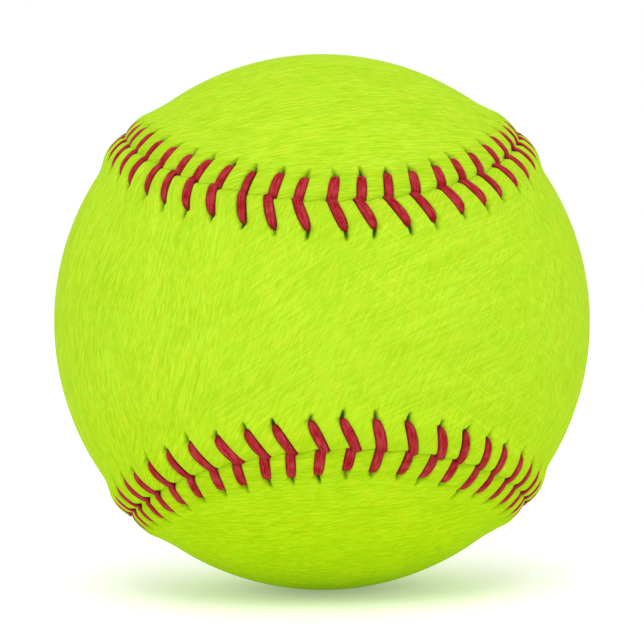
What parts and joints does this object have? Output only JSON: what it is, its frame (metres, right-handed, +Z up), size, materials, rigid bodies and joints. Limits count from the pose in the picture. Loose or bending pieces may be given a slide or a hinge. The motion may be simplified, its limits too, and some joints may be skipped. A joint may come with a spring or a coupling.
{
  "type": "baseball",
  "caption": "Laced leather ball with two figure-eight panels, raised seams and red chevron stitching over wound yarn and a cushioned cork pill.",
  "frame": {"origin": "centre of the ball", "axes": "+Z up through the middle of the rear panel's upper lobe, -Y out of the middle of the front panel's waist, +X through the middle of one of the front panel's lobes"},
  "size_m": [0.0738, 0.0738, 0.0738],
  "materials": {
    "cork": "rubberised cork, fine dark grain",
    "black_rubber": "moulded, matt",
    "red_rubber": "moulded, matt",
    "cement": "brushed rubber cement, thin and uneven",
    "grey_wool": "wound wool yarn",
    "white_wool": "wound wool yarn",
    "cotton": "fine wound cotton",
    "leather": "neon yellow-green coating, satin, with fine brushed streaks",
    "thread": "waxed red thread, two plies, satin"
  },
  "bodies": {
    "root": {"cork_core": "cork", "black_shell_upper": "black_rubber", "black_shell_lower": "black_rubber", "rim_gasket": "red_rubber", "red_cover": "red_rubber", "pill_cement": "cement", "first_winding": "grey_wool", "second_winding": "white_wool", "third_winding": "grey_wool", "fourth_winding": "cotton", "cover_cement": "cement", "front_panel": "leather", "rear_panel": "leather", "thread_first_needle": "thread", "thread_second_needle": "thread"}
  },
  "joints": []
}
